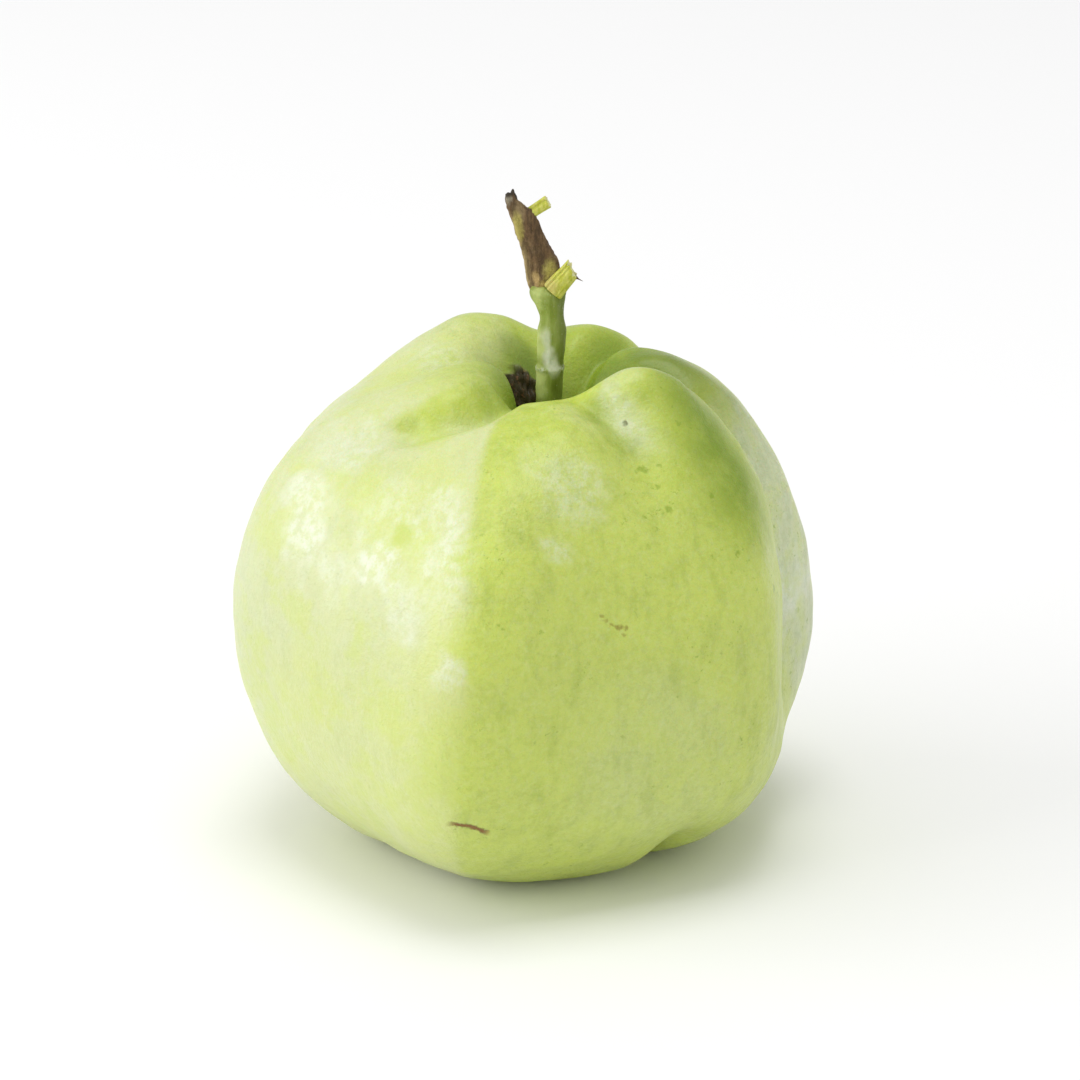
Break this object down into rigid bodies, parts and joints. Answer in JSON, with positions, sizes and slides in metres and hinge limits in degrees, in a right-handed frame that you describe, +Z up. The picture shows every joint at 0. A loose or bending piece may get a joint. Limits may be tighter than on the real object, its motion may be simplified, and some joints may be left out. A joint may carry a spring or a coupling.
{
  "type": "guava",
  "caption": "Whole ribbed green guava standing on its blossom end, with its stalk, a torn bit of twig and a dry calyx underneath.",
  "frame": {"origin": "on the surface it rests on, under the middle of the bounding box", "axes": "+Z up along the stalk; -Y towards the side whose rib shows at the front; +X to the right of that side"},
  "size_m": [0.0951, 0.0961, 0.1085],
  "materials": {
    "skin": "satin",
    "green_stalk": "satin",
    "bark": "matte",
    "torn_stem": "matte",
    "dry_calyx": "matte"
  },
  "bodies": {
    "root": {"fruit": "skin", "peduncle": "green_stalk", "woody_spur": "bark", "lower_stalk_stub": "torn_stem", "upper_stalk_stub": "torn_stem", "sepal_1": "dry_calyx", "sepal_2": "dry_calyx", "sepal_3": "dry_calyx", "sepal_4": "dry_calyx", "sepal_5": "dry_calyx", "style": "dry_calyx"}
  },
  "joints": []
}
